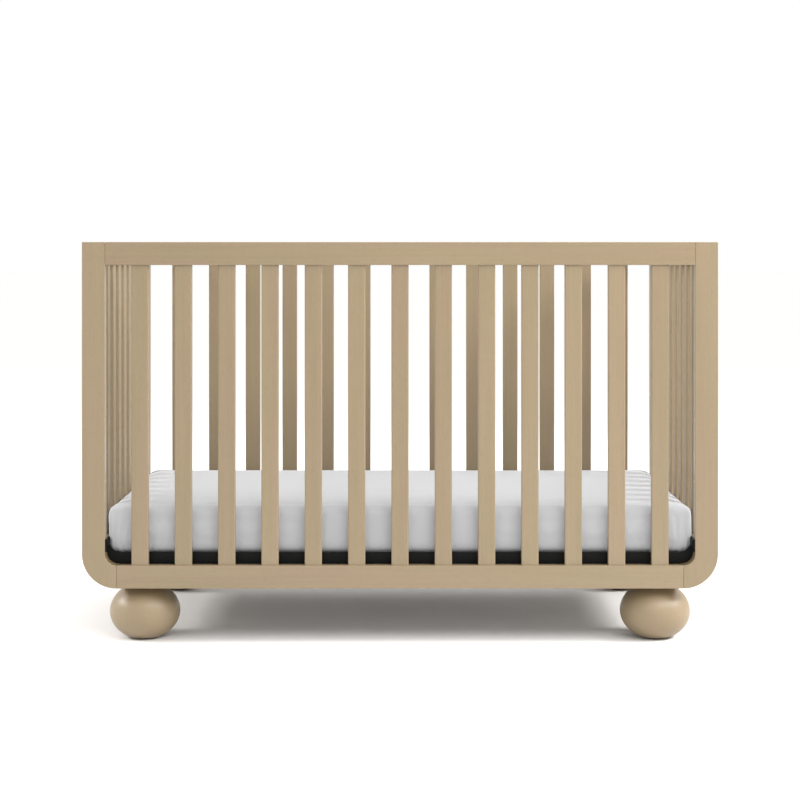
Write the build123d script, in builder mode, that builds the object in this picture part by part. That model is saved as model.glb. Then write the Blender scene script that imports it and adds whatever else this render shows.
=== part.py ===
from build123d import *
import math
import os

# Baby crib: two slatted side panels whose lower corners are bent round, two slatted end
# panels, four bun feet, and a steel spring base that carries a mattress in a fitted sheet.
# Millimetres, +Z up, the front faces -Y, origin on the floor under the middle.

# ---------------------------------------------------------------- driving dimensions
LENGTH = 1434.0         # outside, along X
DEPTH = 777.0           # outside, along Y
HEIGHT = 905.0          # floor to the top of the rails
CLEARANCE = 124.0       # floor to the underside of the frame

BAND = 52.0             # width of the posts and of the rails, seen from the front
BOARD = 25.0            # thickness of every panel
CORNER_R = 78.0         # outside radius of the lower corners
EASE = 1.5              # rounding of the frame's edges

SLAT_W = 39.0
SLAT_T = 16.0
SLAT_EASE = 3.0
SIDE_SLATS = 13         # in the front, and in the back
END_SLATS = 8           # in each end
TENON_W = 32.0
TENON_T = 9.0
TENON_L = 10.0
TENON_FIT = 0.1         # gap all round a tenon
END_CURVE_TOP = 236.0   # top of the curved bottom rail of an end

FOOT_X = 585.0          # foot centre, from the middle
FOOT_R = 80.0           # half width of the bun foot at its belly
FOOT_RISE = 66.0        # half height of the whole ellipsoid that the foot is cut from
FOOT_BELLY_Z = 61.0
PAD_R = 32.0
PAD_T = 3.0
PLANK_W = 120.0         # cross plank that two feet are bolted to
PLANK_T = 22.0
FOOT_BOLT_R = 4.0
FOOT_BOLT_IN = 40.0     # length of the bolt inside the foot
TEE_BARREL_R = 5.3
TEE_BARREL_L = 10.0
TEE_FLANGE_R = 11.0
TEE_FLANGE_T = 1.5

DOWEL_R = 4.0
DOWEL_HALF = 20.0
STUD_R = 3.0
STUD_BORE_R = 4.0
STUD_HEAD_R = 3.6
STUD_NECK_R = 2.2
STUD_HEAD_L = 4.0
STUD_NECK_L = 6.0
STUD_IN_POST = 12.0
STUD_REACH = 34.0       # from the post's face to the middle of the cam nut
CAM_R = 7.5
CAM_DEPTH = 17.0
CAM_SLOT = (3.0, 1.6, 9.0)      # twice the depth, width and length of the screwdriver cross

LEVELS = (224.0, 364.0, 504.0)   # heights of the threaded inserts for the spring base
INSERT_R = 4.0
INSERT_L = 13.0
THREAD_R = 2.5          # inside of the M6 thread
INSERT_HOLE_L = 15.0
BOLT_HEAD_R = 6.0
BOLT_HEAD_T = 3.5
SHOULDER_R = 3.0
HEAD_GAP = 0.3          # between a bolt's head and the hanger
KEY_R = 2.0             # hexagon socket in a bolt's head
KEY_FLOOR = 1.0         # thickness of the head under the socket

STEEL_T = 2.5           # sheet of the spring base
GAP = 0.8               # between the spring base and the wood
DECK_TOP = 195.5        # top of the wires, which the mattress lies on
BLADE_TOP = 201.5       # the side rails stand up past the mattress's lower edge
BLADE_LOW = 166.0       # and hang down behind the wooden rails
BLADE_END = 4.0         # how far the low part stops short of the wooden corner pieces
EAR_TOP = 234.0
EAR_CURVE_R = 30.0      # hollow where a blade turns up into its ear
BASE_Y = 357.5          # outer face of the spring base's side rails
FLANGE_W = 27.0
SLOT_R = 3.3            # hanger slot, round the bolt's shoulder
HANGER_SETBACK = 2.5    # the hangers stop this far behind the outer faces
HANGER_LOW = 206.0
WIRE_R = 2.0
ROD_R = 3.0
ROD_X = 625.0           # border rod of the wire deck, from the middle
ROD_Y = 325.0
WELD = 1.0              # how far a welded wire sinks into the next
LONG_WIRES = 11
CROSS_WIRES = 21
SPRING_R = 5.0
HOOK_R = 1.2
HOOK_L = 5.0
SIDE_SPRINGS = 8
END_SPRINGS = 4
SPRING_PITCH = 150.0

MATTRESS_X = 660.0      # half length and half width, over the sheet
MATTRESS_Y = 349.0
MATTRESS_Z = (DECK_TOP + 0.3, 305.0)
SHEET_T = 1.0
PLAN_R = 26.0
BOTTOM_R = 19.0
TOP_R = 19.0
TUCK = 60.0             # the sheet's return under the mattress

# ---------------------------------------------------------------- worked out from them
ARC_X = LENGTH / 2 - CORNER_R           # centre of a lower corner's arcs
ARC_Z = CLEARANCE + CORNER_R
INNER_R = CORNER_R - BAND
INNER_X = LENGTH / 2 - BAND             # inner edge of the posts
FACE_Y = DEPTH / 2                      # outer face of the side panels
INNER_Y = DEPTH / 2 - BOARD             # inner face of the side panels
MID_Y = DEPTH / 2 - BOARD / 2
TOP_RAIL_Z = HEIGHT - BAND
LOW_RAIL_Z = CLEARANCE + BAND           # top of the front and back bottom rails
END_MID_X = INNER_X + BOARD / 2         # middle of an end panel's thickness
FOOT_Y = FACE_Y - FOOT_R
TOP_DOWELS_Z = (TOP_RAIL_Z + 14, TOP_RAIL_Z + 38)
LOW_DOWELS_Z = (CLEARANCE + 12, CLEARANCE + 30)
STUDS_Z = (ARC_Z + 12, TOP_RAIL_Z + BAND / 2)
PLANK_DOWEL_DX = 25.0
PLANK_DOWEL_Z = CLEARANCE + PLANK_T / 2
PLANK_DOWEL_IN = 12.0                   # depth of a cross dowel in the side panel
CURVE_DOWEL_IN = 10.0
CURVE_DOWEL_R = INNER_R + BOARD / 2
CURVE_DOWEL_X = ARC_X + CURVE_DOWEL_R * math.cos(math.radians(70))
CURVE_DOWEL_Z = ARC_Z - CURVE_DOWEL_R * math.sin(math.radians(70))
CROSS_DOWEL_OUT = 18.0                  # the rest of a cross dowel, towards the middle

SIDES = (("left", -1), ("right", 1))
FACES = (("front", -1), ("back", 1))
CORNERS = [(f"{face}_{side}", sx, sy) for face, sy in FACES for side, sx in SIDES]


def centres(inside, count, width):
    """Middles of equal slats with equal gaps across a clear width centred on 0."""
    gap = (inside - count * width) / (count + 1)
    return [-inside / 2 + gap + width / 2 + i * (gap + width) for i in range(count)]


SIDE_SLAT_X = centres(2 * INNER_X, SIDE_SLATS, SLAT_W)
END_SLAT_Y = centres(2 * INNER_Y, END_SLATS, SLAT_W)


def save(part, name):
    """Label a finished piece and write its file."""
    part.label = name
    export_step(part, f"parts/{name}.step")


def board_plane(sy, y_inner=INNER_Y, thickness=BOARD):
    """Plane facing -Y on which a board of the front (-1) or back (1) panel is extruded."""
    if sy < 0:
        return Plane.XZ.offset(y_inner)
    return Plane.XZ.offset(-y_inner - thickness)


def on_arc(side, radius, degrees):
    """Point of a lower corner's arc, measured down from the horizontal."""
    angle = math.radians(degrees)
    return (side * (ARC_X + radius * math.cos(angle)), ARC_Z - radius * math.sin(angle))


def bent_band(side, inner_r, outer_r, top):
    """A vertical band that turns under through a quarter circle to a square end."""
    with BuildSketch() as band:
        with BuildLine():
            Line((side * (ARC_X + inner_r), top), (side * (ARC_X + outer_r), top))
            Line((side * (ARC_X + outer_r), top), on_arc(side, outer_r, 0))
            ThreePointArc(*[on_arc(side, outer_r, a) for a in (0, 45, 90)])
            Line(on_arc(side, outer_r, 90), on_arc(side, inner_r, 90))
            ThreePointArc(*[on_arc(side, inner_r, a) for a in (90, 45, 0)])
            Line(on_arc(side, inner_r, 0), (side * (ARC_X + inner_r), top))
        make_face()
    return band.sketch


os.makedirs("parts", exist_ok=True)

# ---------------------------------------------------------------- posts, bent at the foot
for corner, sx, sy in CORNERS:
    with BuildPart() as post:
        with BuildSketch(board_plane(sy)):
            add(bent_band(sx, INNER_R, CORNER_R, HEIGHT))
        extrude(amount=BOARD)
        fillet(post.edges(), EASE)
        with Locations(*[(sx * INNER_X, sy * MID_Y, z) for z in TOP_DOWELS_Z]):
            Cylinder(DOWEL_R, 2 * DOWEL_HALF, rotation=(0, 90, 0), mode=Mode.SUBTRACT)
        with Locations(*[(sx * ARC_X, sy * MID_Y, z) for z in LOW_DOWELS_Z]):
            Cylinder(DOWEL_R, 2 * DOWEL_HALF, rotation=(0, 90, 0), mode=Mode.SUBTRACT)
        with Locations(*[(sx * INNER_X, sy * MID_Y, z) for z in LEVELS]):
            Cylinder(INSERT_R, 2 * INSERT_HOLE_L, rotation=(0, 90, 0), mode=Mode.SUBTRACT)
        with Locations(*[(sx * END_MID_X, sy * INNER_Y, z) for z in STUDS_Z]):
            Cylinder(STUD_R, 2 * STUD_IN_POST, rotation=(90, 0, 0), mode=Mode.SUBTRACT)
        with Locations((sx * CURVE_DOWEL_X, sy * INNER_Y, CURVE_DOWEL_Z)):
            Cylinder(DOWEL_R, 2 * CURVE_DOWEL_IN, rotation=(90, 0, 0), mode=Mode.SUBTRACT)
    save(post.part, f"{corner}_post")

# ---------------------------------------------------------------- front and back rails
for face, sy in FACES:
    with BuildPart() as top_rail:
        with BuildSketch(board_plane(sy)):
            with Locations((0, HEIGHT - BAND / 2)):
                Rectangle(2 * INNER_X, BAND)
        extrude(amount=BOARD)
        fillet(top_rail.edges(), EASE)
        with Locations(*[(x, sy * MID_Y, TOP_RAIL_Z) for x in SIDE_SLAT_X]):
            Box(TENON_W, TENON_T, 2 * TENON_L, mode=Mode.SUBTRACT)
        with Locations(*[(sx * INNER_X, sy * MID_Y, z) for _, sx in SIDES for z in TOP_DOWELS_Z]):
            Cylinder(DOWEL_R, 2 * DOWEL_HALF, rotation=(0, 90, 0), mode=Mode.SUBTRACT)
    save(top_rail.part, f"{face}_top_rail")

    with BuildPart() as low_rail:
        with BuildSketch(board_plane(sy)):
            with Locations((0, LOW_RAIL_Z - BAND / 2)):
                Rectangle(2 * ARC_X, BAND)
        extrude(amount=BOARD)
        fillet(low_rail.edges(), EASE)
        with Locations(*[(x, sy * MID_Y, LOW_RAIL_Z) for x in SIDE_SLAT_X]):
            Box(TENON_W, TENON_T, 2 * TENON_L, mode=Mode.SUBTRACT)
        with Locations(*[(sx * ARC_X, sy * MID_Y, z) for _, sx in SIDES for z in LOW_DOWELS_Z]):
            Cylinder(DOWEL_R, 2 * DOWEL_HALF, rotation=(0, 90, 0), mode=Mode.SUBTRACT)
        with Locations(*[(sx * FOOT_X + dx, sy * INNER_Y, PLANK_DOWEL_Z)
                         for _, sx in SIDES for dx in (-PLANK_DOWEL_DX, PLANK_DOWEL_DX)]):
            Cylinder(DOWEL_R, 2 * PLANK_DOWEL_IN, rotation=(90, 0, 0), mode=Mode.SUBTRACT)
    save(low_rail.part, f"{face}_bottom_rail")


# ---------------------------------------------------------------- slats with stub tenons
def slat(places, low, high, along_y):
    """Upright slats that stand between two rails, each with a tenon at both ends."""
    turn = 90 if along_y else 0
    with BuildPart() as bars:
        with BuildSketch(Plane.XY.offset(low)):
            with Locations(*[Location((x, y), turn) for x, y in places]):
                RectangleRounded(SLAT_W, SLAT_T, SLAT_EASE)
        extrude(amount=high - low)
        with BuildSketch(Plane.XY.offset(low - TENON_L + TENON_FIT)):
            with Locations(*[Location((x, y), turn) for x, y in places]):
                Rectangle(TENON_W - 2 * TENON_FIT, TENON_T - 2 * TENON_FIT)
        extrude(amount=high - low + 2 * (TENON_L - TENON_FIT))
    return bars.part


for face, sy in FACES:
    for number, x in enumerate(SIDE_SLAT_X, 1):
        save(slat([(x, sy * MID_Y)], LOW_RAIL_Z, TOP_RAIL_Z, False), f"{face}_slat_{number:02d}")
for side, sx in SIDES:
    places = [(sx * END_MID_X, y) for y in END_SLAT_Y]
    save(slat(places, END_CURVE_TOP, TOP_RAIL_Z, True), f"{side}_end_slats")

# ---------------------------------------------------------------- end rails
for side, sx in SIDES:
    stud_ends = [(sx * END_MID_X, sy * INNER_Y, z) for _, sy in FACES for z in STUDS_Z]
    cam_faces = [(sx * (INNER_X + BOARD), sy * (INNER_Y - STUD_REACH), z)
                 for _, sy in FACES for z in STUDS_Z]
    with BuildPart() as end_top:
        with BuildSketch(Plane.XZ.offset(-INNER_Y)):
            with Locations((sx * END_MID_X, HEIGHT - BAND / 2)):
                Rectangle(BOARD, BAND)
        extrude(amount=2 * INNER_Y)
        fillet(end_top.edges(), EASE)
        with Locations(*[(sx * END_MID_X, y, TOP_RAIL_Z) for y in END_SLAT_Y]):
            Box(TENON_T, TENON_W, 2 * TENON_L, mode=Mode.SUBTRACT)
        with Locations(*[p for p in stud_ends if p[2] > TOP_RAIL_Z]):
            Cylinder(STUD_BORE_R, 2 * STUD_REACH, rotation=(90, 0, 0), mode=Mode.SUBTRACT)
        with Locations(*[p for p in cam_faces if p[2] > TOP_RAIL_Z]):
            Cylinder(CAM_R, 2 * CAM_DEPTH, rotation=(0, 90, 0), mode=Mode.SUBTRACT)
    save(end_top.part, f"{side}_end_top_rail")

    with BuildPart() as end_curve:
        with BuildSketch(Plane.XZ.offset(-INNER_Y)):
            add(bent_band(sx, INNER_R, INNER_R + BOARD, END_CURVE_TOP))
        extrude(amount=2 * INNER_Y)
        fillet(end_curve.edges(), EASE)
        with Locations(*[(sx * END_MID_X, y, END_CURVE_TOP) for y in END_SLAT_Y]):
            Box(TENON_T, TENON_W, 2 * TENON_L, mode=Mode.SUBTRACT)
        with Locations(*[p for p in stud_ends if p[2] < END_CURVE_TOP]):
            Cylinder(STUD_BORE_R, 2 * STUD_REACH, rotation=(90, 0, 0), mode=Mode.SUBTRACT)
        with Locations(*[p for p in cam_faces if p[2] < END_CURVE_TOP]):
            Cylinder(CAM_R, 2 * CAM_DEPTH, rotation=(0, 90, 0), mode=Mode.SUBTRACT)
        with Locations(*[(sx * CURVE_DOWEL_X, sy * INNER_Y, CURVE_DOWEL_Z) for _, sy in FACES]):
            Cylinder(DOWEL_R, 2 * CROSS_DOWEL_OUT, rotation=(90, 0, 0), mode=Mode.SUBTRACT)
    save(end_curve.part, f"{side}_end_bottom_rail")

# ---------------------------------------------------------------- cross planks over the feet
FOOT_SPOTS = [(sx * FOOT_X, sy * FOOT_Y) for _, sx, sy in CORNERS]
with BuildPart() as planks:
    with BuildSketch(Plane.XY.offset(CLEARANCE)):
        with Locations(*[(sx * FOOT_X, 0) for _, sx in SIDES]):
            Rectangle(PLANK_W, 2 * INNER_Y)
    extrude(amount=PLANK_T)
    fillet(planks.edges().filter_by(Axis.Y), EASE)
    with Locations(*[(x, y, CLEARANCE + PLANK_T) for x, y in FOOT_SPOTS]):
        Cylinder(TEE_BARREL_R, PLANK_T, mode=Mode.SUBTRACT)
        Cylinder(FOOT_BOLT_R + 0.5, 2 * PLANK_T, mode=Mode.SUBTRACT)
        Cylinder(TEE_FLANGE_R, 2 * TEE_FLANGE_T, mode=Mode.SUBTRACT)
    with Locations(*[(sx * FOOT_X + dx, sy * INNER_Y, PLANK_DOWEL_Z) for _, sx, sy in CORNERS
                     for dx in (-PLANK_DOWEL_DX, PLANK_DOWEL_DX)]):
        Cylinder(DOWEL_R, 2 * CROSS_DOWEL_OUT, rotation=(90, 0, 0), mode=Mode.SUBTRACT)
save(planks.part, "foot_rails")

# ---------------------------------------------------------------- bun feet and their fittings
with BuildPart() as bun:
    with BuildSketch(Plane.XZ):
        with Locations((0, FOOT_BELLY_Z)):
            Ellipse(FOOT_R, FOOT_RISE)
        with Locations((0, PAD_T)):
            Rectangle(FOOT_R, CLEARANCE - PAD_T, align=(Align.MIN, Align.MIN), mode=Mode.INTERSECT)
    revolve(axis=Axis.Z)
    with Locations((0, 0, CLEARANCE)):
        Cylinder(FOOT_BOLT_R, 2 * FOOT_BOLT_IN, mode=Mode.SUBTRACT)

for corner, sx, sy in CORNERS:
    with BuildPart() as foot:
        with Locations((sx * FOOT_X, sy * FOOT_Y, 0)):
            add(bun.part)
    save(foot.part, f"{corner}_foot")

with BuildPart() as pads:
    with BuildSketch(Plane.XY):
        with Locations(*FOOT_SPOTS):
            Circle(PAD_R)
    extrude(amount=PAD_T)
save(pads.part, "foot_pads")

with BuildPart() as foot_bolts:
    with BuildSketch(Plane.XY.offset(CLEARANCE - FOOT_BOLT_IN)):
        with Locations(*FOOT_SPOTS):
            Circle(FOOT_BOLT_R)
    extrude(amount=FOOT_BOLT_IN + PLANK_T - TEE_FLANGE_T)
save(foot_bolts.part, "foot_bolts")

with BuildPart() as tee_nuts:
    with BuildSketch(Plane.XY.offset(CLEARANCE + PLANK_T / 2)):
        with Locations(*FOOT_SPOTS):
            Circle(TEE_BARREL_R)
    extrude(amount=PLANK_T / 2)
    with BuildSketch(Plane.XY.offset(CLEARANCE + PLANK_T - TEE_FLANGE_T)):
        with Locations(*FOOT_SPOTS):
            Circle(TEE_FLANGE_R)
    extrude(amount=TEE_FLANGE_T)
    with Locations(*[(x, y, CLEARANCE + PLANK_T) for x, y in FOOT_SPOTS]):
        Cylinder(FOOT_BOLT_R, 2 * PLANK_T, mode=Mode.SUBTRACT)
save(tee_nuts.part, "foot_tee_nuts")

# ---------------------------------------------------------------- hidden joinery
with BuildPart() as dowels:
    with Locations(*[(sx * INNER_X, sy * MID_Y, z) for _, sx, sy in CORNERS for z in TOP_DOWELS_Z]):
        Cylinder(DOWEL_R, 2 * DOWEL_HALF, rotation=(0, 90, 0))
    with Locations(*[(sx * ARC_X, sy * MID_Y, z) for _, sx, sy in CORNERS for z in LOW_DOWELS_Z]):
        Cylinder(DOWEL_R, 2 * DOWEL_HALF, rotation=(0, 90, 0))
    for _, sx, sy in CORNERS:
        plank_middle = sy * (INNER_Y + (PLANK_DOWEL_IN - CROSS_DOWEL_OUT) / 2)
        with Locations(*[(sx * FOOT_X + dx, plank_middle, PLANK_DOWEL_Z)
                         for dx in (-PLANK_DOWEL_DX, PLANK_DOWEL_DX)]):
            Cylinder(DOWEL_R, PLANK_DOWEL_IN + CROSS_DOWEL_OUT, rotation=(90, 0, 0))
        curve_middle = sy * (INNER_Y + (CURVE_DOWEL_IN - CROSS_DOWEL_OUT) / 2)
        with Locations((sx * CURVE_DOWEL_X, curve_middle, CURVE_DOWEL_Z)):
            Cylinder(DOWEL_R, CURVE_DOWEL_IN + CROSS_DOWEL_OUT, rotation=(90, 0, 0))
save(dowels.part, "rail_dowels")

STUD_ENDS = [(sx * END_MID_X, sy, z) for _, sx, sy in CORNERS for z in STUDS_Z]
with BuildPart() as studs:
    for x, sy, z in STUD_ENDS:
        outward = Plane(origin=(x, sy * (INNER_Y - STUD_REACH), z), x_dir=(1, 0, 0), z_dir=(0, sy, 0))
        with BuildSketch(outward):
            Circle(STUD_HEAD_R)
        extrude(amount=STUD_HEAD_L)
        with BuildSketch(outward.offset(STUD_HEAD_L)):
            Circle(STUD_NECK_R)
        extrude(amount=STUD_NECK_L)
        with BuildSketch(outward.offset(STUD_HEAD_L + STUD_NECK_L)):
            Circle(STUD_R)
        extrude(amount=STUD_REACH + STUD_IN_POST - STUD_HEAD_L - STUD_NECK_L)
save(studs.part, "connector_studs")

with BuildPart() as cams:
    for x, sy, z in STUD_ENDS:
        sx = math.copysign(1, x)
        y = sy * (INNER_Y - STUD_REACH)
        with Locations((sx * (INNER_X + BOARD - CAM_DEPTH / 2), y, z)):
            Cylinder(CAM_R, CAM_DEPTH, rotation=(0, 90, 0))
        with Locations((x, y, z)):
            Cylinder(STUD_BORE_R, 2 * CAM_R + 2, rotation=(90, 0, 0), mode=Mode.SUBTRACT)
        with Locations((sx * (INNER_X + BOARD), y, z)):
            Box(CAM_SLOT[0], CAM_SLOT[1], CAM_SLOT[2], mode=Mode.SUBTRACT)
            Box(CAM_SLOT[0], CAM_SLOT[2], CAM_SLOT[1], mode=Mode.SUBTRACT)
save(cams.part, "cam_nuts")

INSERT_SPOTS = [(sx, sy * MID_Y, z) for _, sx, sy in CORNERS for z in LEVELS]
with BuildPart() as inserts:
    with Locations(*[(sx * (INNER_X + INSERT_L / 2), y, z) for sx, y, z in INSERT_SPOTS]):
        Cylinder(INSERT_R, INSERT_L, rotation=(0, 90, 0))
        Cylinder(THREAD_R, 2 * INSERT_L, rotation=(0, 90, 0), mode=Mode.SUBTRACT)
save(inserts.part, "threaded_inserts")

HANGER_X = ARC_X + INNER_R - GAP        # outer face of the hangers and of the end rails' upstand
HEAD_FACE_X = HANGER_X - STEEL_T - HEAD_GAP
with BuildPart() as shoulder_bolts:
    for _, sx, sy in CORNERS:
        inward = Plane(origin=(sx * (INNER_X + INSERT_L), sy * MID_Y, LEVELS[0]), z_dir=(-sx, 0, 0))
        with BuildSketch(inward):
            Circle(THREAD_R)
        extrude(amount=INSERT_L)
        with BuildSketch(inward.offset(INSERT_L)):
            Circle(SHOULDER_R)
        extrude(amount=INNER_X - HEAD_FACE_X)
        head = inward.offset(INSERT_L + INNER_X - HEAD_FACE_X)
        with BuildSketch(head):
            Circle(BOLT_HEAD_R)
        extrude(amount=BOLT_HEAD_T)
        with BuildSketch(head.offset(KEY_FLOOR)):
            RegularPolygon(KEY_R, 6)
        extrude(amount=BOLT_HEAD_T, mode=Mode.SUBTRACT)
save(shoulder_bolts.part, "shoulder_bolts")

# ---------------------------------------------------------------- spring base
BASE_R = INNER_R - GAP                  # outside radius of the steel at the lower corners
BASE_LOW = ARC_Z - BASE_R
INSIDE_R = BASE_R - STEEL_T             # inside radius of the same bend
EAR_X = ARC_X + INSIDE_R                # inner face of the ears and of the end rails' upstand
CURVE_X = EAR_X - EAR_CURVE_R           # centre of the hollow in a blade
CURVE_Z = BLADE_TOP + EAR_CURVE_R
DIAGONAL = EAR_CURVE_R * math.sqrt(0.5)

with BuildPart() as side_rails:
    for _, sy in FACES:
        # the blade is straight along the middle and swept up into thin ears at both ends
        with BuildSketch(board_plane(sy, BASE_Y - STEEL_T, STEEL_T)):
            with BuildLine():
                Polyline((0, BLADE_LOW), (ARC_X - BLADE_END, BLADE_LOW),
                         (ARC_X - BLADE_END, BASE_LOW), (ARC_X, BASE_LOW))
                ThreePointArc(*[on_arc(1, BASE_R, a) for a in (90, 45, 0)])
                Polyline(on_arc(1, BASE_R, 0), (ARC_X + BASE_R, EAR_TOP), (EAR_X, EAR_TOP),
                         (EAR_X, CURVE_Z))
                ThreePointArc((EAR_X, CURVE_Z), (CURVE_X + DIAGONAL, CURVE_Z - DIAGONAL),
                              (CURVE_X, BLADE_TOP))
                Polyline((CURVE_X, BLADE_TOP), (0, BLADE_TOP), (0, BLADE_LOW))
            make_face()
            mirror(about=Plane.YZ)
        extrude(amount=STEEL_T)
        with Locations((0, sy * (BASE_Y - STEEL_T - FLANGE_W / 2), BLADE_LOW + STEEL_T / 2)):
            Box(2 * (ARC_X - FLANGE_W), FLANGE_W, STEEL_T)
save(side_rails.part, "support_side_rails")

with BuildPart() as end_rails:
    for _, sx in SIDES:
        with BuildSketch(Plane.XZ.offset(STEEL_T - BASE_Y)):
            add(bent_band(sx, INSIDE_R, BASE_R, EAR_TOP))
            with Locations((sx * (ARC_X - FLANGE_W / 2), BASE_LOW + STEEL_T / 2)):
                Rectangle(FLANGE_W, STEEL_T)
        extrude(amount=2 * (BASE_Y - STEEL_T))
save(end_rails.part, "support_end_rails")

HANGER_REACH = FACE_Y - HANGER_SETBACK
with BuildPart() as hangers:
    for _, sx, sy in CORNERS:
        middle = (sx * (HANGER_X - STEEL_T / 2), sy * (BASE_Y + HANGER_REACH) / 2,
                  (HANGER_LOW + EAR_TOP) / 2)
        with Locations(middle):
            Box(STEEL_T, HANGER_REACH - BASE_Y, EAR_TOP - HANGER_LOW)
        with Locations((middle[0], sy * MID_Y, LEVELS[0])):
            Cylinder(SLOT_R, 2 * STEEL_T, rotation=(0, 90, 0), mode=Mode.SUBTRACT)
            Box(2 * STEEL_T, 2 * SLOT_R, 2 * SLOT_R + EAR_TOP - HANGER_LOW, mode=Mode.SUBTRACT,
                align=(Align.CENTER, Align.CENTER, Align.MAX))
save(hangers.part, "support_hangers")

ROD_Z = DECK_TOP - 2 * WIRE_R - ROD_R + WELD        # the border rods lie under the long wires
CROSS_Z = DECK_TOP - 3 * WIRE_R + WELD              # and so do the cross wires
with BuildPart() as deck:
    with Locations((0, ROD_Y, ROD_Z), (0, -ROD_Y, ROD_Z)):
        Cylinder(ROD_R, 2 * ROD_X + 2 * ROD_R, rotation=(0, 90, 0))
    with Locations((ROD_X, 0, ROD_Z), (-ROD_X, 0, ROD_Z)):
        Cylinder(ROD_R, 2 * ROD_Y + 2 * ROD_R, rotation=(90, 0, 0))
    with GridLocations(0, 2 * ROD_Y / (LONG_WIRES + 1), 1, LONG_WIRES):
        with Locations((0, 0, DECK_TOP - WIRE_R)):
            Cylinder(WIRE_R, 2 * ROD_X, rotation=(0, 90, 0))
    with GridLocations(2 * ROD_X / (CROSS_WIRES + 1), 0, CROSS_WIRES, 1):
        with Locations((0, 0, CROSS_Z)):
            Cylinder(WIRE_R, 2 * ROD_Y, rotation=(90, 0, 0))
save(deck.part, "support_mesh")

# springs from the border rods out to the base's rails, drawn as plain hooked barrels
SIDE_SPRING_X = [SPRING_PITCH * (i - (SIDE_SPRINGS - 1) / 2) for i in range(SIDE_SPRINGS)]
END_SPRING_Y = [SPRING_PITCH * (i - (END_SPRINGS - 1) / 2) for i in range(END_SPRINGS)]
BEND_DROP = ARC_Z - ROD_Z + HOOK_R      # how far below the bend's centre an end spring's hook reaches
END_STOP_X = ARC_X + math.sqrt(INSIDE_R ** 2 - BEND_DROP ** 2) - GAP / 4
ROOTS = [((x, sy * (ROD_Y + ROD_R)), (0, sy), BASE_Y - STEEL_T - ROD_Y - ROD_R)
         for _, sy in FACES for x in SIDE_SPRING_X]
ROOTS += [((sx * (ROD_X + ROD_R), y), (sx, 0), END_STOP_X - ROD_X - ROD_R)
          for _, sx in SIDES for y in END_SPRING_Y]
with BuildPart() as springs:
    for (x, y), (dx, dy), span in ROOTS:
        along = Plane(origin=(x, y, ROD_Z), z_dir=(dx, dy, 0))
        with BuildSketch(along):
            Circle(HOOK_R)
        extrude(amount=span)
        with BuildSketch(along.offset(HOOK_L)):
            Circle(SPRING_R)
        extrude(amount=span - 2 * HOOK_L)
save(springs.part, "support_springs")


# ---------------------------------------------------------------- mattress and fitted sheet
def cushion(inset):
    """Rounded mattress block, smaller all round than the finished size by the inset."""
    low, high = MATTRESS_Z
    with BuildPart() as block:
        with BuildSketch(Plane.XY.offset(low + inset)):
            RectangleRounded(2 * (MATTRESS_X - inset), 2 * (MATTRESS_Y - inset), PLAN_R - inset)
        extrude(amount=high - low - 2 * inset)
        fillet(block.faces().sort_by(Axis.Z)[0].edges(), BOTTOM_R - inset)
        fillet(block.faces().sort_by(Axis.Z)[-1].edges(), TOP_R - inset)
    return block.part


core = cushion(SHEET_T)
save(core, "mattress_core")

with BuildPart() as sheet:
    add(cushion(0))
    add(core, mode=Mode.SUBTRACT)
    with BuildSketch(Plane.XY.offset(MATTRESS_Z[0] - SHEET_T)):
        RectangleRounded(2 * (MATTRESS_X - TUCK), 2 * (MATTRESS_Y - TUCK), PLAN_R)
    extrude(amount=3 * SHEET_T, mode=Mode.SUBTRACT)
save(sheet.part, "fitted_sheet")
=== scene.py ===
import math

import bpy
from mathutils import Matrix, Vector, noise


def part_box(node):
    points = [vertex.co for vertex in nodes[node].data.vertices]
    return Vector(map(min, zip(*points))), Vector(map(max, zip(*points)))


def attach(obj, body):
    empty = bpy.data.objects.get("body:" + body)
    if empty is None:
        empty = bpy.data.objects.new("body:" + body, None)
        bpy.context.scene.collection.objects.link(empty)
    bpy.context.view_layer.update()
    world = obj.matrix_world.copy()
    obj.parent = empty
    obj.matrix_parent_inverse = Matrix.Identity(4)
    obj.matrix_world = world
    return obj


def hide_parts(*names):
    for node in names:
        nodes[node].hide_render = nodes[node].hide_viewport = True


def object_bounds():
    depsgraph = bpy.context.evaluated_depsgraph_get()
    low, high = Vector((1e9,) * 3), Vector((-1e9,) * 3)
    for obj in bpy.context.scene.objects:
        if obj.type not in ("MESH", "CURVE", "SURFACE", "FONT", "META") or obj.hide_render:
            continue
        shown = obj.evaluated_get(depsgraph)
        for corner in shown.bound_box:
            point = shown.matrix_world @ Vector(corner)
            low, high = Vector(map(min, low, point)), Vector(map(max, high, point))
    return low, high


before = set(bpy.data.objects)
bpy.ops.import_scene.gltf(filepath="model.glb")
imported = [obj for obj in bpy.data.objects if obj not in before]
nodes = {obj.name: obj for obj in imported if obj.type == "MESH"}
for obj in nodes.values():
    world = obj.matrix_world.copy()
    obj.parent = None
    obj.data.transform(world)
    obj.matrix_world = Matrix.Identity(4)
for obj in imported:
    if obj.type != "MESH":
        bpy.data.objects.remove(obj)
cad_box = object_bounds()

# The eye looks level at the front side from a little over four metres away, as a buyer
# stands back to see the whole crib. The picture is shifted down instead of tilted.
eye_distance = 4.18
eye_height = 0.878
front_y = cad_box[0][1]
bpy.ops.object.camera_add(location=(0, front_y - eye_distance, eye_height),
                          rotation=(math.pi / 2, 0, 0))
camera = bpy.context.object
camera.data.lens = 83.5
camera.data.shift_y = -0.1825
camera.data.clip_end = 300
bpy.context.scene.camera = camera


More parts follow.
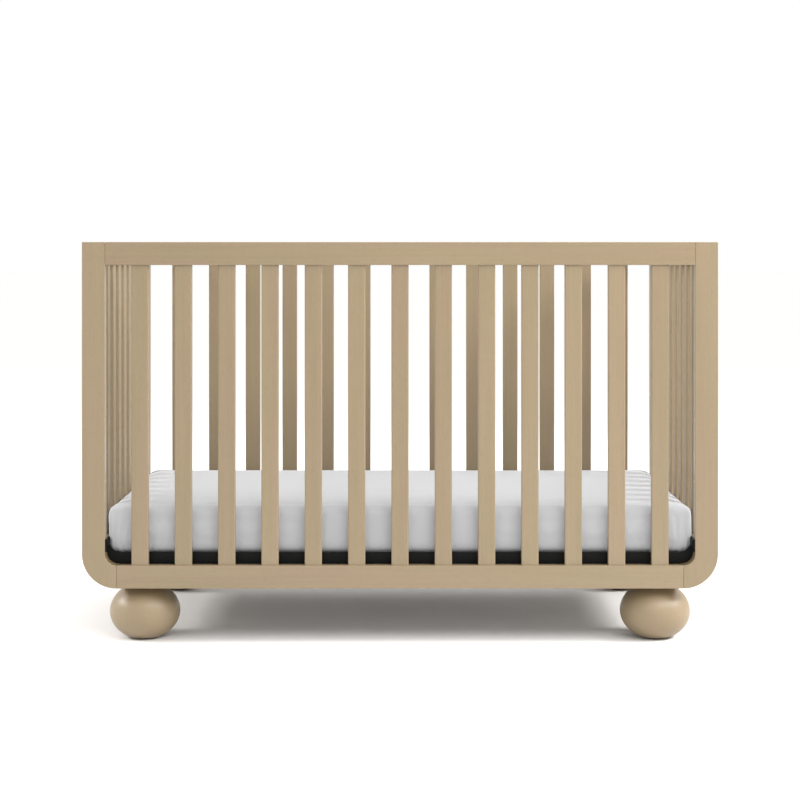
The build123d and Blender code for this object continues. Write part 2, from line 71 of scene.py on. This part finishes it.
# Posts, rails, slats and planks are solid light oak under a clear matt lacquer, with every
# edge eased by hand. The grain runs along each board, and their tone and figure differ. The
# slats of the ends are painted a paler and more even oak, under a thinner and softer lacquer:
# this is painted light, standing in for the light that falls on their inner faces.
class Socket:
    """An output of a material's node. Sums and products of it add Math nodes."""

    def __init__(self, tree, output):
        self.tree = tree
        self.output = output

    def node(self, kind, settings=None, sockets=None, out=0):
        """Add a node, set it up, fill its sockets with values or outputs, and give its output."""
        made = self.tree.nodes.new("ShaderNode" + kind)
        for key, value in (settings or {}).items():
            setattr(made, key, value)
        for key, value in (sockets or {}).items():
            if isinstance(value, Socket):
                self.tree.links.new(value.output, made.inputs[key])
            elif hasattr(value, "__len__") and len(value) == 3 and made.inputs[key].type == "RGBA":
                made.inputs[key].default_value = (*value, 1)
            else:
                made.inputs[key].default_value = value
        return Socket(self.tree, made.outputs[out])

    def math(self, operation, *values):
        return self.node("Math", {"operation": operation}, dict(enumerate(values)))

    def __add__(self, other):
        return self.math("ADD", self, other)

    def __sub__(self, other):
        return self.math("SUBTRACT", self, other)

    def __rsub__(self, other):
        return self.math("SUBTRACT", other, self)

    def __mul__(self, other):
        return self.math("MULTIPLY", self, other)

    __radd__ = __add__
    __rmul__ = __mul__

    def between(self, low, high):
        """0 below low, 1 above high, and a smooth step from one to the other."""
        return self.node("MapRange", {"interpolation_type": "SMOOTHSTEP"}, {0: self, 1: low, 2: high})

    def mix(self, first, second):
        """The first colour where this is 0, and the second where it is 1."""
        return self.node("Mix", {"data_type": "RGBA"}, {0: self, 6: first, 7: second}, out=2)

    def noise(self, x, y, z, scale=1.0, detail=2.0, roughness=0.5):
        """Soft noise on three coordinates."""
        place = self.node("CombineXYZ", None, {0: x, 1: y, 2: z})
        sockets = {"Vector": place, "Scale": scale, "Detail": detail, "Roughness": roughness}
        return self.node("TexNoise", None, sockets)


def new_material(name):
    """An empty material with one Principled shader, and a start for its chain of nodes."""
    material = bpy.data.materials.new(name)
    material.use_nodes = True
    shader = material.node_tree.nodes["Principled BSDF"]
    start = Socket(material.node_tree, None)
    place = start.node("TexCoord", out="Object")
    return material, shader, place


def xyz(place):
    return [place.node("SeparateXYZ", None, {0: place}, out=axis) for axis in range(3)]


def plug(shader, name, value):
    value.tree.links.new(value.output, shader.inputs[name])


def wood(name, along, lacquer=0.6, satin=0.2, age=1.0):
    """Light oak with its grain along X, Y or Z. Lacquer is how much of a coat it has, satin is
    how dull the coat is, and age is how deep and uneven its brown is."""
    material, shader, place = new_material(name)
    x, y, z = xyz(place)
    across, depth, length = {"X": (z, y, x), "Y": (x, z, y), "Z": (x, y, z)}[along]
    board = place.node("ObjectInfo", out="Random")
    seed = board * 37.0
    wander = place.noise(across * 4 + seed, depth * 4, length * 1.3, detail=3) - 0.5
    tree_radius = across + depth * (board * 1.6 - 0.8) + wander * 0.05
    ring = tree_radius * 260 + place.noise(tree_radius * 45 + seed, length * 0.6, depth * 3) * 5
    late = ring.math("FRACT", ring)
    late_wood = late * late * late
    streak = place.noise(across * 150, depth * 150, length * 3.2 + seed, detail=5, roughness=0.6)
    broad = place.noise(across * 16, depth * 16, length * 0.9 + seed, detail=3)
    fibre = place.noise(across * 900, depth * 900, length * 16, detail=3)
    pore = place.noise(across * 1900, depth * 1900, length * 55 + seed, detail=1)
    pores = pore.between(0.60, 0.68) * (1 - late_wood * 0.7)
    shade = broad.between(0.3, 0.7) * 0.36 + streak.between(0.3, 0.72) * 0.24 + board * 0.22
    rosy = place.noise(across * 34 + seed, depth * 34, length * 2.1 + seed, detail=2).between(0.38, 0.62)
    pale = rosy.mix((0.237, 0.182, 0.100), (0.244, 0.178, 0.104))
    deep = rosy.mix((0.188, 0.139, 0.071), (0.192, 0.135, 0.074))
    light = (shade * age).mix(pale, deep)
    figured = (late_wood * 0.24 + fibre.between(0.35, 0.75) * 0.08).mix(light, (0.205, 0.144, 0.076))
    ridge = streak.between(0.66, 0.78) * broad.between(0.45, 0.6)
    veined = (ridge * 0.35).mix(figured, (0.19, 0.135, 0.08))
    colour = (pores * 0.34).mix(veined, (0.14, 0.092, 0.048))
    plug(shader, "Base Color", colour)
    plug(shader, "Roughness", streak * 0.08 + pores * 0.15 - late_wood * 0.05 + 0.48)
    height = fibre * 0.3 - pores * 0.9 + late_wood * 0.4
    normal = place.node("Bump", None, {"Strength": 0.28, "Distance": 0.00025, "Height": height})
    plug(shader, "Normal", normal)
    shader.inputs["Coat Weight"].default_value = lacquer
    shader.inputs["Coat Roughness"].default_value = satin
    return material


def finish_with(name, material):
    """Give a CAD node its material."""
    node = nodes[name]
    node.data.materials.clear()
    node.data.materials.append(material)


upright_oak = wood("oak_upright", "Z")
lengthwise_oak = wood("oak_lengthwise", "X")
crosswise_oak = wood("oak_crosswise", "Y")
# Painted light: the end slats get a paler, more even oak than the rest, standing in for the light on
# their inner faces.
painted_light_end_oak = wood("oak_ends_painted_light", "Z", 0.2, 0.3, 0.0)
for face in ("front", "back"):
    for rail in ("top", "bottom"):
        finish_with(f"{face}_{rail}_rail", lengthwise_oak)
    for side in ("left", "right"):
        finish_with(f"{face}_{side}_post", upright_oak)
    for number in range(1, 14):
        finish_with(f"{face}_slat_{number:02d}", upright_oak)
for side in ("left", "right"):
    finish_with(f"{side}_end_slats", painted_light_end_oak)
    for rail in ("top", "bottom"):
        finish_with(f"{side}_end_{rail}_rail", crosswise_oak)
finish_with("foot_rails", crosswise_oak)


# The four bun feet are turned from solid oak on a lathe and rubbed with a thinner lacquer, so
# their shine is softer than the planed boards'. A hanger bolt holds each one to its plank.
def select_none():
    if bpy.context.object and bpy.context.object.mode == "EDIT":
        bpy.ops.object.mode_set(mode="OBJECT")
    bpy.ops.object.select_all(action="DESELECT")


def pick_only(piece):
    """Select one piece and nothing else, and make it the active one."""
    select_none()
    piece.select_set(True)
    bpy.context.view_layer.objects.active = piece


def settle(piece, name):
    """Name a finished piece and put its place into its mesh."""
    pick_only(piece)
    bpy.ops.object.transform_apply(location=True, rotation=True, scale=True)
    piece.name = name
    piece.data.name = name
    return piece


def apply_modifier(piece, kind, **settings):
    """Add a modifier, set it up and apply it."""
    bpy.context.view_layer.objects.active = piece
    modifier = piece.modifiers.new(kind.lower(), kind)
    for key, value in settings.items():
        setattr(modifier, key, value)
    bpy.ops.object.modifier_apply(modifier=modifier.name)


def dress(piece, material, slot, body, *replaced):
    """Give a new piece its material, its body and the CAD nodes it stands for. The slot is not used."""
    piece.data.materials.clear()
    piece.data.materials.append(material)
    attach(piece, body)
    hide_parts(*replaced)


turned_oak = wood("oak_turned", "Z", 0.4, 0.36, 0.2)
belly_radius = 0.080
belly_above_seat = 0.058
half_rise = 0.066
seat_bevel = 0.0012
sharp_turn = math.radians(40)
for name in ("front_left_foot", "front_right_foot", "back_left_foot", "back_right_foot"):
    low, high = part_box(name)
    middle = (low + high) / 2
    belly_height = low.z + belly_above_seat
    select_none()
    bpy.ops.mesh.primitive_uv_sphere_add(segments=96, ring_count=64,
                                         location=(middle.x, middle.y, belly_height))
    foot = bpy.context.object
    foot.scale = (belly_radius, belly_radius, half_rise)
    foot = settle(foot, "turned_" + name)
    bpy.ops.object.mode_set(mode="EDIT")
    for height, facing in ((low.z, -1), (high.z, 1)):
        bpy.ops.mesh.select_all(action="SELECT")
        bpy.ops.mesh.bisect(plane_co=(middle.x, middle.y, height), plane_no=(0, 0, facing),
                            use_fill=True, clear_outer=True)
    bpy.ops.object.mode_set(mode="OBJECT")
    apply_modifier(foot, "BEVEL", width=seat_bevel, segments=2, limit_method="ANGLE",
                   angle_limit=sharp_turn)
    bpy.ops.object.shade_smooth_by_angle(angle=sharp_turn)
    dress(foot, turned_oak, "wood", "frame", name)


# Pads of dense black felt and rubber are glued under the feet. Bolts, tee nuts, studs and
# cams are zinc-plated steel, the dowels are raw beech, and the inserts are plain brass.
def plain(name, colour, roughness, metallic=0.0, grain=2500.0, depth=0.00002, spread=0.1, shine=0.5):
    """A simple finish with fine speckle in its colour, gloss and surface."""
    material, shader, place = new_material(name)
    x, y, z = xyz(place)
    speckle = place.noise(x, y, z, scale=grain, detail=3)
    cloud = place.noise(x, y, z, scale=14, detail=3)
    darker = tuple(0.7 * c for c in colour)
    plug(shader, "Base Color", (speckle * 0.5 + cloud * 0.5).mix(darker, colour))
    plug(shader, "Roughness", roughness + (cloud - 0.5) * spread + (speckle - 0.5) * spread)
    shader.inputs["Metallic"].default_value = metallic
    shader.inputs["Specular IOR Level"].default_value = shine
    bump = place.node("Bump", None, {"Strength": 0.5, "Distance": depth, "Height": speckle})
    plug(shader, "Normal", bump)
    return material


finish_with("foot_pads", plain("felt_black", (0.02, 0.02, 0.021), 0.9, grain=900, depth=0.0004))
zinc = plain("zinc_plate", (0.62, 0.63, 0.65), 0.34, metallic=1.0)
for name in ("foot_bolts", "foot_tee_nuts", "connector_studs", "cam_nuts"):
    finish_with(name, zinc)
finish_with("rail_dowels", wood("beech_raw", "X", lacquer=0.0))
brass = plain("brass_plain", (0.75, 0.56, 0.28), 0.32, metallic=1.0)
finish_with("threaded_inserts", brass)


# The spring base is folded steel rails, welded wire and slotted hangers, all sprayed with
# one coat of satin black powder that leaves a fine orange peel. The four shoulder bolts that
# it hangs on are blackened too.
powder_black = plain("powder_black", (0.005, 0.005, 0.005), 0.5, grain=1400, depth=0.00008, shine=0.12)
for part in ("side_rails", "end_rails", "hangers", "mesh"):
    finish_with("support_" + part, powder_black)
finish_with("shoulder_bolts", powder_black)


# Springs of oiled wire pull the wire deck out to the rails all round: each is a close coil
# with a hook at both ends, one round the border rod and one through the rail.
spring_low, spring_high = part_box("support_springs")
spring_z = (spring_low.z + spring_high.z) / 2
deck_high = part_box("support_mesh")[1]
coil_radius = 0.0042
wire_radius = 0.0008
coil_turns = 9
points_a_turn = 10
hook_length = 0.0055
spring_pitch = 0.15
side_springs = 8
end_springs = 4
steel_sheet = 0.0025


def spring_line(span):
    """Points of a spring that lies along X from 0 to span: hook, close coil, hook."""
    rise = (span - 2 * hook_length) / (coil_turns * points_a_turn)
    line = [(-0.004, 0, -0.003), (-hook_length, 0, 0.001), (-0.003, 0, 0.0040),
            (0.001, 0, 0.0025), (0.003, 0, 0)]
    for step in range(coil_turns * points_a_turn + 1):
        angle = 2 * math.pi * step / points_a_turn
        across, upwards = coil_radius * math.sin(angle), coil_radius * math.cos(angle)
        line.append((hook_length + rise * step, across, upwards))
    line += [(span - 0.003, 0, 0), (span - 0.0005, 0, 0), (span + 0.001, 0, -0.002),
             (span + 0.0005, 0, -0.0035)]
    return line


def make_spring(span, matrix):
    """One spring as a mesh, turned and moved to its place."""
    line = spring_line(span)
    curve = bpy.data.curves.new("spring", "CURVE")
    curve.dimensions = "3D"
    curve.bevel_depth = wire_radius
    curve.bevel_resolution = 1
    curve.use_fill_caps = True
    spline = curve.splines.new("NURBS")
    spline.points.add(len(line) - 1)
    for point, place in zip(spline.points, line):
        point.co = (*place, 1)
    spline.order_u = 3
    spline.use_endpoint_u = True
    spline.resolution_u = 2
    spring = bpy.data.objects.new("spring", curve)
    bpy.context.scene.collection.objects.link(spring)
    pick_only(spring)
    bpy.ops.object.convert(target="MESH")
    spring.data.transform(matrix)
    return spring


side_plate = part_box("support_side_rails")[1].y - steel_sheet
end_plate = spring_high.x
side_span = side_plate - deck_high.y
end_span = end_plate - deck_high.x
springs = []
for sign in (-1, 1):
    for step in range(side_springs):
        along = spring_pitch * (step - (side_springs - 1) / 2)
        place = Matrix.Translation((along, sign * deck_high.y, spring_z))
        springs.append(make_spring(side_span, place @ Matrix.Rotation(sign * math.pi / 2, 4, "Z")))
    for step in range(end_springs):
        along = spring_pitch * (step - (end_springs - 1) / 2)
        place = Matrix.Translation((sign * deck_high.x, along, spring_z))
        turn = Matrix.Rotation(0 if sign > 0 else math.pi, 4, "Z")
        springs.append(make_spring(end_span, place @ turn))
select_none()
for spring in springs:
    spring.select_set(True)
bpy.context.view_layer.objects.active = springs[0]
bpy.ops.object.join()
base_springs = settle(springs[0], "base_springs")
bpy.ops.object.shade_smooth()
oiled_wire = plain("oiled_spring_wire", (0.30, 0.30, 0.31), 0.30, metallic=1.0)
dress(base_springs, oiled_wire, "spring_steel", "mattress_support", "support_springs")


# The mattress is a block of foam in white ticking. The ticking is quilted in diamonds, and
# its stitched lines pull a little into the top and the underside.
def soft_block(name, low, high, plan, bottom, top):
    """A block with rounded plan corners and rounded bottom and top edges."""
    centre = (low + high) / 2
    size = high - low
    touching = 0.0001
    select_none()
    bpy.ops.mesh.primitive_cube_add(size=1, location=centre)
    block = bpy.context.object
    block.scale = size
    block = settle(block, name)
    for width, pick in ((plan, lambda a, b: abs(a.z - b.z) > size.z / 2),
                        (bottom, lambda a, b: max(a.z, b.z) < low.z + touching),
                        (top, lambda a, b: min(a.z, b.z) > high.z - touching)):
        bpy.ops.object.mode_set(mode="EDIT")
        bpy.ops.mesh.select_mode(type="EDGE")
        bpy.ops.mesh.select_all(action="DESELECT")
        bpy.ops.object.mode_set(mode="OBJECT")
        for edge in block.data.edges:
            a, b = (block.data.vertices[v].co for v in edge.vertices)
            edge.select = pick(a, b) and len(
                [f for f in block.data.polygons if set(edge.vertices) <= set(f.vertices)]) == 2
        bpy.ops.object.mode_set(mode="EDIT")
        bpy.ops.mesh.bevel(offset=width, segments=6, profile=0.5)
    bpy.ops.object.mode_set(mode="OBJECT")
    return block


core_low, core_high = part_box("mattress_core")
sheet_low, sheet_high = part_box("fitted_sheet")
side_slack = 0.003
under_slack = 0.0005
top_slack = 0.002
foam_corner = 0.022
foam_roll = 0.018
foam_grid = 0.012
quilt_pitch = 0.09
stitch_width = 0.06
stitch_depth = 0.0025
plain_border = 0.02
foam = soft_block("mattress_block", core_low + Vector((side_slack, side_slack, under_slack)),
                  core_high - Vector((side_slack, side_slack, top_slack)),
                  foam_corner, foam_roll, foam_roll)
apply_modifier(foam, "REMESH", mode="VOXEL", voxel_size=foam_grid)
bpy.ops.object.shade_smooth()
for vertex in foam.data.vertices:
    x, y, z = vertex.co
    up = (x + y) / quilt_pitch
    down = (x - y) / quilt_pitch
    stitch = max(math.exp(-(abs(u - round(u)) / stitch_width) ** 2) for u in (up, down))
    inside = min(core_high.x - abs(x), core_high.y - abs(y))
    if inside > plain_border:
        vertex.co.z += stitch_depth * stitch * (1 if z < (core_low.z + core_high.z) / 2 else -1)


def ticking():
    """White woven ticking: a fine diagonal weave with pale grey pin stripes along the mattress."""
    material, shader, place = new_material("ticking_white")
    x, y, z = xyz(place)
    stripe = (y * 40).math("PINGPONG", y * 40, 0.5)
    thin = stripe.between(0.44, 0.48)
    twill = ((x + y) * 1250).math("PINGPONG", (x + y) * 1250, 0.5)
    cloud = place.noise(x, y, z, scale=9, detail=3)
    base = cloud.mix((0.66, 0.655, 0.63), (0.74, 0.735, 0.71))
    plug(shader, "Base Color", (thin * 0.6).mix(base, (0.36, 0.38, 0.42)))
    plug(shader, "Roughness", cloud * 0.1 + 0.82)
    shader.inputs["Sheen Weight"].default_value = 0.2
    normal = place.node("Bump", None, {"Strength": 0.4, "Distance": 0.0003, "Height": twill})
    plug(shader, "Normal", normal)
    return material


dress(foam, ticking(), "ticking", "mattress", "mattress_core")


# Over the mattress goes a fitted sheet of white cotton. It starts as the mattress's own
# shape, swelled a little. Its corners are gathered into short folds that fan up from the
# elastic, and the top has a few faint creases from being stretched.
def simulate_cover(cover, frames, pressure, most):
    """Let a little air swell the cover. No point moves inwards or further than the most."""
    start = [(vertex.co.copy(), vertex.normal.copy()) for vertex in cover.data.vertices]
    cloth = cover.modifiers.new("cloth", "CLOTH")
    cloth.settings.quality = 5
    cloth.settings.mass = 0.2
    cloth.settings.tension_stiffness = 15
    cloth.settings.compression_stiffness = 15
    cloth.settings.bending_stiffness = 0.4
    cloth.settings.shrink_min = -0.012
    cloth.settings.use_pressure = True
    cloth.settings.uniform_pressure_force = pressure
    cloth.settings.effector_weights.gravity = 0
    cloth.collision_settings.use_collision = False
    cloth.collision_settings.use_self_collision = False
    cloth.point_cache.frame_end = frames
    for number in range(1, frames + 1):
        bpy.context.scene.frame_set(number)
    bpy.context.view_layer.objects.active = cover
    bpy.ops.object.modifier_apply(modifier="cloth")
    for vertex, (place, normal) in zip(cover.data.vertices, start):
        move = vertex.co - place
        move -= normal * min(0.0, move.dot(normal))
        vertex.co = place + move * min(1.0, most / max(move.length, most))
    bpy.context.scene.frame_set(1)


plan_corner = 0.015
bottom_roll = 0.018
top_roll = 0.011
cloth_grid = 0.009
cover = soft_block("fitted_cotton_sheet", sheet_low, sheet_high, plan_corner, bottom_roll, top_roll)
apply_modifier(cover, "REMESH", mode="VOXEL", voxel_size=cloth_grid)
simulate_cover(cover, frames=12, pressure=3.0, most=0.0050)
apply_modifier(cover, "SUBSURF", levels=1, render_levels=1)

wall_gap = 0.0007
end_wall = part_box("left_end_top_rail")[1].x
steel_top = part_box("support_end_rails")[1].z
widest = abs(end_wall) - wall_gap
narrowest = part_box("support_end_rails")[1].x - steel_sheet - wall_gap
side_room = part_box("support_side_rails")[1].y - steel_sheet - wall_gap
fold_width = 0.021
fold_depth = 0.0016
crease_depth = 0.0012
stretch_depth = 0.0005
hollow_depth = 0.0009
ripple_depth = 0.0007
corner_reach = 0.11
above_steel = 0.003
under_sag = 0.0002
outward = [vertex.normal.copy() for vertex in cover.data.vertices]
for vertex, normal in zip(cover.data.vertices, outward):
    x, y, z = vertex.co
    to_corner = math.hypot(abs(x) - sheet_high.x, abs(y) - sheet_high.y)
    near_corner = math.exp(-(to_corner / corner_reach) ** 2)
    height = (z - sheet_low.z) / (sheet_high.z - sheet_low.z)
    around = (sheet_high.x - abs(x)) - (sheet_high.y - abs(y))
    wobble = noise.noise(Vector((x * 9, y * 9, z * 14)))
    fold = math.sin(2 * math.pi * around / (fold_width * (0.7 + 0.5 * height)) + 5 * wobble)
    gather = fold_depth * near_corner * fold * max(0.0, 1 - height) ** 0.6
    pull = noise.noise(Vector((x * 26 + y * 13, y * 26 - x * 13, z * 30)))
    stretch = stretch_depth * noise.noise(Vector((x * 5, y * 22, z * 8)))
    crease = crease_depth * near_corner * pull + stretch
    soft = hollow_depth * noise.noise(Vector((x * 3.1, y * 3.7, z * 6)))
    ripple = ripple_depth * noise.noise(Vector((x * 34, y * 34, z * 4))) * (1 - abs(normal.z))
    moved = vertex.co + normal * (gather + crease + soft + ripple)
    reach = narrowest if moved.z < steel_top + above_steel else widest
    moved.x = max(-reach, min(reach, moved.x))
    moved.y = max(-side_room, min(side_room, moved.y))
    moved.z = max(sheet_low.z - under_sag, moved.z)
    vertex.co = moved

# Underneath, the sheet is cut away inside its elastic and given the cloth's thickness.
tuck = 0.06
cloth_thickness = 0.0008
nearly_flat = 0.006
kept_share = 0.6
pick_only(cover)
for face in cover.data.polygons:
    x, y, z = face.center
    face.select = (z < sheet_low.z + nearly_flat and abs(x) < sheet_high.x - tuck
                   and abs(y) < sheet_high.y - tuck)
for vertex in cover.data.vertices:
    vertex.select = False
bpy.ops.object.mode_set(mode="EDIT")
bpy.ops.mesh.select_mode(type="FACE")
bpy.ops.mesh.delete(type="FACE")
bpy.ops.object.mode_set(mode="OBJECT")
apply_modifier(cover, "DECIMATE", ratio=kept_share)
apply_modifier(cover, "SOLIDIFY", thickness=cloth_thickness, offset=-1.0)
pick_only(cover)
bpy.ops.object.shade_smooth()


def cotton():
    """Plain white percale: threads cross over and under in every direction that the cloth faces."""
    material, shader, place = new_material("cotton_white")
    x, y, z = xyz(place)
    threads = [(axis * 900).math("PINGPONG", axis * 900, 0.5) for axis in (x, y, z)]
    weave = threads[0] + threads[1] + threads[2]
    cloud = place.noise(x, y, z, scale=7, detail=4)
    slub = place.noise(x * 60, y * 700, z * 60, detail=2) * 0.5
    slub += place.noise(x * 700, y * 60, z * 700) * 0.5
    plug(shader, "Base Color", (cloud * 0.6 + slub * 0.4).mix((0.41, 0.42, 0.44), (0.475, 0.48, 0.495)))
    plug(shader, "Roughness", cloud * 0.1 + 0.83)
    shader.inputs["Sheen Weight"].default_value = 0.15
    shader.inputs["Sheen Roughness"].default_value = 0.5
    normal = place.node("Bump", None, {"Strength": 0.3, "Distance": 0.0003, "Height": weave + slub})
    plug(shader, "Normal", normal)
    return material


white_cotton = cotton()
dress(cover, white_cotton, "sheet_cotton", "mattress", "fitted_sheet")


# The elastic runs in a narrow hem round the sheet's cut edge underneath, and crimps it: the
# hem is a little thicker and thinner, and higher and lower, all the way round.
hem_radius = 0.0013
hem_corner = 0.05
hem_step = 0.004
hem_gap = 0.0004
hem_waves = ((0.0003, 1.9), (0.0002, 0.73))
crimp = 0.25
crimp_rate = 2.3
arc_steps = 8


def hem_line():
    """Points of the hem: a flat rectangle with rounded corners, inside the sheet's tuck."""
    half_x = sheet_high.x - tuck
    half_y = sheet_high.y - tuck
    line = []
    for quarter, (sx, sy) in enumerate(((1, 1), (-1, 1), (-1, -1), (1, -1))):
        centre = Vector((sx * (half_x - hem_corner), sy * (half_y - hem_corner), 0))
        for step in range(arc_steps + 1):
            angle = (quarter + step / arc_steps) * math.pi / 2
            line.append(centre + hem_corner * Vector((math.cos(angle), math.sin(angle), 0)))
    return line


curve = bpy.data.curves.new("elastic_hem", "CURVE")
curve.dimensions = "3D"
curve.bevel_depth = hem_radius
curve.bevel_resolution = 2
corners = hem_line()
spline = curve.splines.new("POLY")
dense = []
for first, second in zip(corners, corners[1:] + corners[:1]):
    count = max(1, round((second - first).length / hem_step))
    dense += [first.lerp(second, step / count) for step in range(count)]
spline.points.add(len(dense) - 1)
for number, (point, place) in enumerate(zip(spline.points, dense)):
    lift = sum(depth * math.sin(number * rate) for depth, rate in hem_waves)
    point.co = (place.x, place.y, sheet_low.z + hem_radius + hem_gap + lift, 1)
    point.radius = 1 + crimp * math.sin(number * crimp_rate)
spline.use_cyclic_u = True
hem = bpy.data.objects.new("elastic_hem", curve)
bpy.context.scene.collection.objects.link(hem)
pick_only(hem)
bpy.ops.object.convert(target="MESH")
bpy.ops.object.shade_smooth()
hem = settle(bpy.context.object, "elastic_hem")
dress(hem, white_cotton, "sheet_cotton", "mattress")


# A wide pale floor and an even white room, a little brighter overhead. A long thin strip of
# light hangs high in front, soft lamps stand right, left and behind, and two small ones
# put a glint on the turned feet.
select_none()
bpy.ops.mesh.primitive_plane_add(size=160, location=(0, 0, 0))
floor = bpy.context.object
floor.name = "studio_floor"
floor_material, floor_shader, floor_place = new_material("floor_white")
floor_grain = floor_place.noise(*xyz(floor_place), scale=3, detail=2)
plug(floor_shader, "Base Color", floor_grain.mix((0.795, 0.78, 0.765), (0.815, 0.80, 0.785)))
floor_shader.inputs["Roughness"].default_value = 0.9
floor_shader.inputs["Specular IOR Level"].default_value = 0.1
floor.data.materials.append(floor_material)

ceiling_gain = 0.52
world = bpy.data.worlds.new("white_room")
world.use_nodes = True
room = Socket(world.node_tree, None)
up = room.node("SeparateXYZ", None, {0: room.node("TexCoord", out="Generated")}, out=2)
background = world.node_tree.nodes["Background"]
background.inputs["Color"].default_value = (1, 1, 1, 1)
world.node_tree.links.new((up * up * ceiling_gain + 1).output, background.inputs["Strength"])
bpy.context.scene.world = world
bpy.context.scene.view_settings.view_transform = "Standard"
aim = Vector((0, 0, 0.4))


def soft_lamp(name, towards, distance, width, height, watts):
    """A flat soft lamp that stands in a direction from the crib and faces it."""
    place = aim + towards.normalized() * distance
    facing = towards.to_track_quat("Z", "Y").to_euler()
    bpy.ops.object.light_add(type="AREA", location=place, rotation=facing)
    lamp = bpy.context.object
    lamp.name = name
    lamp.data.shape = "RECTANGLE" if width > height else "DISK"
    lamp.data.size = width
    lamp.data.size_y = height
    lamp.data.energy = watts


soft_lamp("front_strip", Vector((0.50, -0.72, 0.61)), 4.0, 4.4, 0.3, 78)
soft_lamp("right_soft", Vector((0.84, -0.22, 0.50)), 4.0, 1.2, 1.2, 125)
soft_lamp("left_soft", Vector((-0.90, -0.08, 0.43)), 4.0, 1.6, 0.8, 85)
soft_lamp("right_glint", Vector((0.75, -0.48, 0.46)), 3.6, 0.6, 0.6, 12)
soft_lamp("left_glint", Vector((-0.95, 0.12, 0.30)), 4.0, 0.8, 0.8, 6)
soft_lamp("back_fill", Vector((0.25, 0.85, 0.46)), 4.5, 3.0, 1.2, 50)
